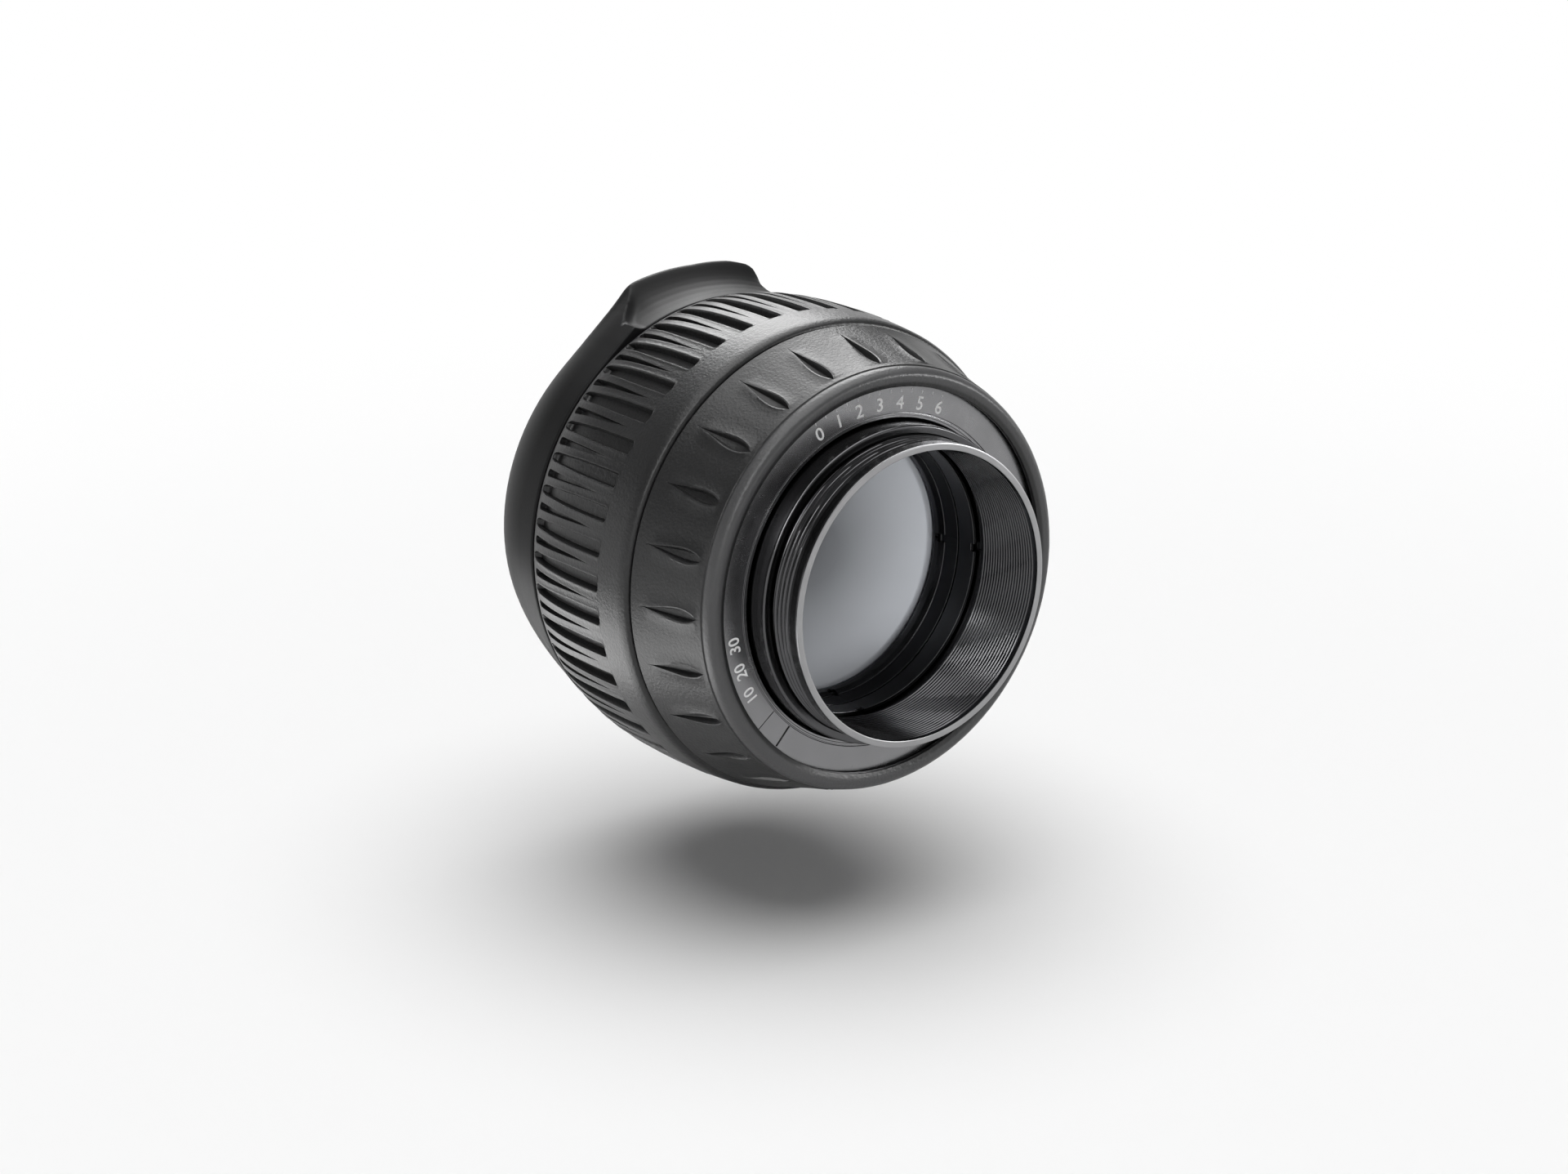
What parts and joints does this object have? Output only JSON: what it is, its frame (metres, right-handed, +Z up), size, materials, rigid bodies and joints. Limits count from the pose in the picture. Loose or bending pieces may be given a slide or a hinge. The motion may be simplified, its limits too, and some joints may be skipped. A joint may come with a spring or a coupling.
{
  "type": "thermal imaging lens",
  "caption": "Infrared objective lens with a threaded camera end, a ribbed rubber focus ring and a push-on rubber cap with a pull tab.",
  "frame": {"origin": "on the optical axis at the seat, the collar face that stops against the camera", "axes": "+Y along the optical axis towards the objective end and its cap, +Z up through the cap's pull tab, +X to the right seen from the camera end"},
  "size_m": [0.0639, 0.0593, 0.0658],
  "materials": {
    "anodised_metal": "black anodised, glossy",
    "satin_metal": "black anodised, fine turned satin",
    "steel": "turned",
    "coated_glass": "infrared coated, grey and mirror-like, opaque to light",
    "rubber": "moulded, fine matte grain",
    "cap_rubber": "moulded, smooth satin",
    "seal_rubber": "smooth",
    "slide_plastic": "plain"
  },
  "bodies": {
    "housing": {"mount_tube": "anodised_metal", "seat_plate": "satin_metal", "baffle_ring": "anodised_metal", "rear_retaining_ring": "anodised_metal", "rear_lens": "coated_glass", "rear_lens_seal": "seal_rubber", "rear_cell": "anodised_metal", "main_barrel": "anodised_metal", "lock_screw_1": "steel", "lock_screw_2": "steel", "lock_screw_3": "steel", "stop_pin": "steel", "grip_sleeve": "rubber", "tube_seal": "seal_rubber", "ring_seal": "seal_rubber", "friction_washer": "slide_plastic", "front_bezel": "anodised_metal"},
    "focus_ring": {"focus_ring": "anodised_metal", "focus_grip": "rubber"},
    "focus_cell": {"focus_cell": "anodised_metal", "cam_follower_1": "steel", "cam_follower_2": "steel", "cam_follower_3": "steel", "front_lens": "coated_glass", "front_lens_seal": "seal_rubber", "front_retaining_ring": "anodised_metal", "cell_seal": "seal_rubber"},
    "cap": {"protective_cap": "cap_rubber"}
  },
  "joints": [
    {"name": "focus_turn", "type": "hinge", "parent": "housing", "child": "focus_ring", "pos_m": [0, 0.025, 0], "axis": [0, 1, 0], "range_deg": [-50, 50]},
    {"name": "focus_slide", "type": "slide", "parent": "housing", "child": "focus_cell", "axis": [0, 1, 0], "range_m": [-0.00056, 0.00056]},
    {"name": "cap_pull", "type": "slide", "parent": "housing", "child": "cap", "axis": [0, 1, 0], "range_m": [0, 0.03]}
  ],
  "couplings": [
    {"joint": "focus_slide", "follows": "focus_turn", "m_per_rad": 0.00063025}
  ]
}
